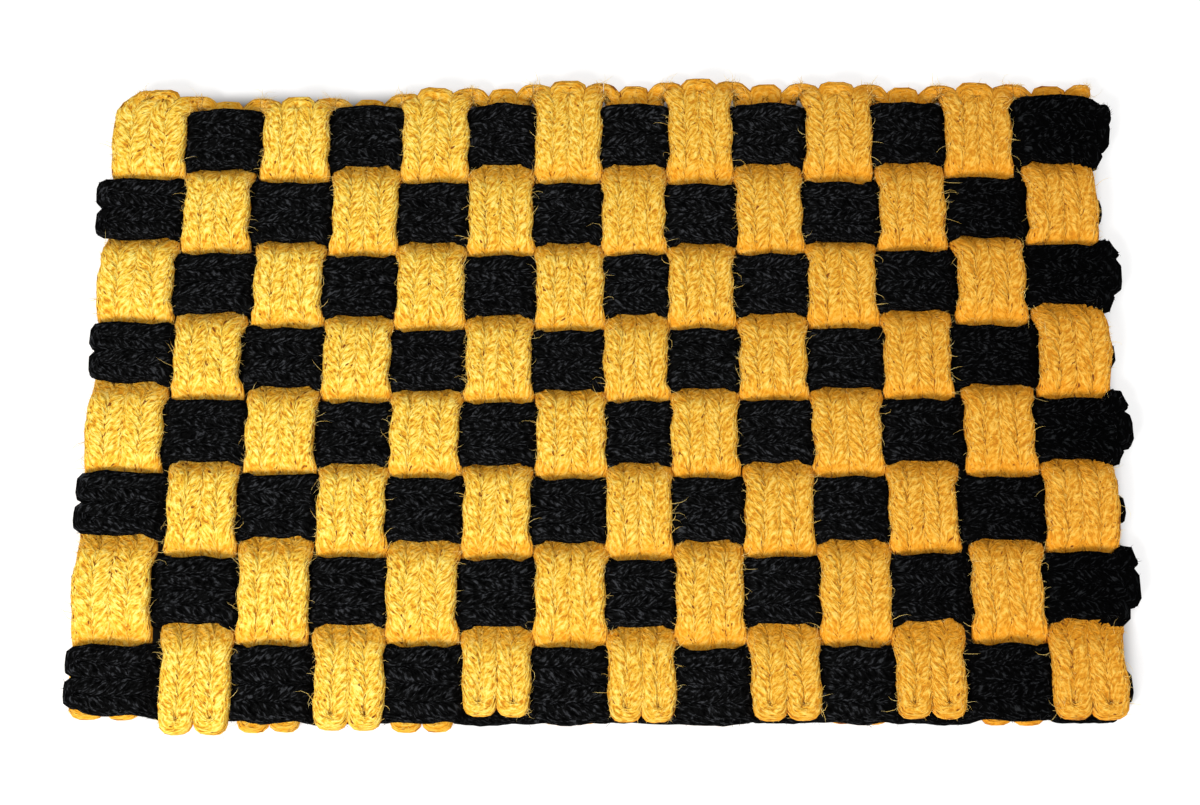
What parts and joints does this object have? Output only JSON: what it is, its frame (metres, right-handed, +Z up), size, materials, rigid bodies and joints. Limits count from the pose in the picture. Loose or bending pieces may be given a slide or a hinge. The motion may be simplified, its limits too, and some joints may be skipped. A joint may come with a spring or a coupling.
{
  "type": "woven coir doormat",
  "caption": "Flat rectangular doormat, plain-woven from broad yellow and black straps of coir rope laid side by side, with looped rope turns along its edges.",
  "frame": {"origin": "centre of the mat's base, on the surface it lies on", "axes": "+X to the right along the long side, +Y towards the far edge, +Z up out of the mat"},
  "size_m": [0.75, 0.492, 0.0212],
  "materials": {
    "yellow_coir": "twisted coir rope, dyed ochre yellow, matt and hairy",
    "black_coir": "twisted coir rope, dyed black, matt and hairy"
  },
  "bodies": {
    "root": {"yellow_strap_01": "yellow_coir", "yellow_strap_02": "yellow_coir", "yellow_strap_03": "yellow_coir", "yellow_strap_04": "yellow_coir", "yellow_strap_05": "yellow_coir", "yellow_strap_06": "yellow_coir", "yellow_strap_07": "yellow_coir", "yellow_strap_08": "yellow_coir", "yellow_strap_09": "yellow_coir", "yellow_strap_10": "yellow_coir", "yellow_strap_11": "yellow_coir", "yellow_strap_12": "yellow_coir", "yellow_strap_13": "yellow_coir", "yellow_strap_14": "yellow_coir", "black_strap_1": "black_coir", "black_strap_2": "black_coir", "black_strap_3": "black_coir", "black_strap_4": "black_coir", "black_strap_5": "black_coir", "black_strap_6": "black_coir", "black_strap_7": "black_coir", "black_strap_8": "black_coir"}
  },
  "joints": []
}
